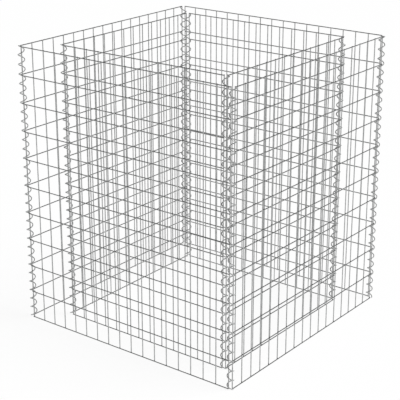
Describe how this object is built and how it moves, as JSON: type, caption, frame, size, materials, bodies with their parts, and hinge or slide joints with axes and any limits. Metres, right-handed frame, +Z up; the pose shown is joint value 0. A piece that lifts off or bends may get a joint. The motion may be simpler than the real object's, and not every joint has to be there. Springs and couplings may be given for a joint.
{
  "type": "raised gabion planter",
  "caption": "Raised garden planter with an inner and an outer square basket of galvanised welded mesh, hinged at the corners by spiral binders: stones fill the ring, soil the well.",
  "frame": {"origin": "centre of the planter's footprint, on the ground that it stands on", "axes": "+Z up, -Y out of the front panels, +X to the right seen from the front"},
  "size_m": [0.9116, 0.9086, 1.0035],
  "materials": {
    "mesh_wire": "hot-dip galvanised, dull",
    "spiral_wire": "galvanised drawn wire, dull"
  },
  "bodies": {
    "outer_front": {"outer_front_panel": "mesh_wire"},
    "outer_left": {"outer_left_panel": "mesh_wire", "outer_front_left_spiral": "spiral_wire", "outer_back_left_spiral": "spiral_wire"},
    "outer_right": {"outer_right_panel": "mesh_wire", "outer_front_right_spiral": "spiral_wire", "outer_back_right_spiral": "spiral_wire"},
    "outer_back": {"outer_back_panel": "mesh_wire"},
    "inner_front": {"inner_front_panel": "mesh_wire"},
    "inner_left": {"inner_left_panel": "mesh_wire", "inner_front_left_spiral": "spiral_wire"},
    "inner_right": {"inner_right_panel": "mesh_wire", "inner_front_right_spiral": "spiral_wire"},
    "inner_back": {"inner_back_panel": "mesh_wire", "inner_back_left_spiral": "spiral_wire", "inner_back_right_spiral": "spiral_wire"}
  },
  "joints": [
    {"name": "outer_left_hinge", "type": "hinge", "parent": "outer_front", "child": "outer_left", "pos_m": [-0.44266, -0.44181, 0.5], "axis": [0, 0, 1], "range_deg": [-30, 30]},
    {"name": "outer_right_hinge", "type": "hinge", "parent": "outer_front", "child": "outer_right", "pos_m": [0.44266, -0.44181, 0.5], "axis": [0, 0, 1], "range_deg": [-30, 30]},
    {"name": "outer_back_hinge", "type": "hinge", "parent": "outer_left", "child": "outer_back", "pos_m": [-0.44266, 0.44181, 0.5], "axis": [0, 0, 1], "range_deg": [-30, 30]},
    {"name": "inner_lift", "type": "slide", "parent": "outer_front", "child": "inner_front", "axis": [0, 0, 1], "range_m": [0, 1.05]},
    {"name": "inner_left_hinge", "type": "hinge", "parent": "inner_front", "child": "inner_left", "pos_m": [-0.34231, -0.34126, 0.5], "axis": [0, 0, 1], "range_deg": [-30, 30]},
    {"name": "inner_right_hinge", "type": "hinge", "parent": "inner_front", "child": "inner_right", "pos_m": [0.34231, -0.34126, 0.5], "axis": [0, 0, 1], "range_deg": [-30, 30]},
    {"name": "inner_back_hinge", "type": "hinge", "parent": "inner_left", "child": "inner_back", "pos_m": [-0.34231, 0.34126, 0.5], "axis": [0, 0, 1], "range_deg": [-30, 30]}
  ],
  "couplings": [
    {"joint": "outer_right_hinge", "follows": "outer_left_hinge", "ratio": 1},
    {"joint": "outer_back_hinge", "follows": "outer_left_hinge", "ratio": -1},
    {"joint": "inner_left_hinge", "follows": "outer_left_hinge", "ratio": 1},
    {"joint": "inner_right_hinge", "follows": "outer_left_hinge", "ratio": 1},
    {"joint": "inner_back_hinge", "follows": "outer_left_hinge", "ratio": -1}
  ]
}
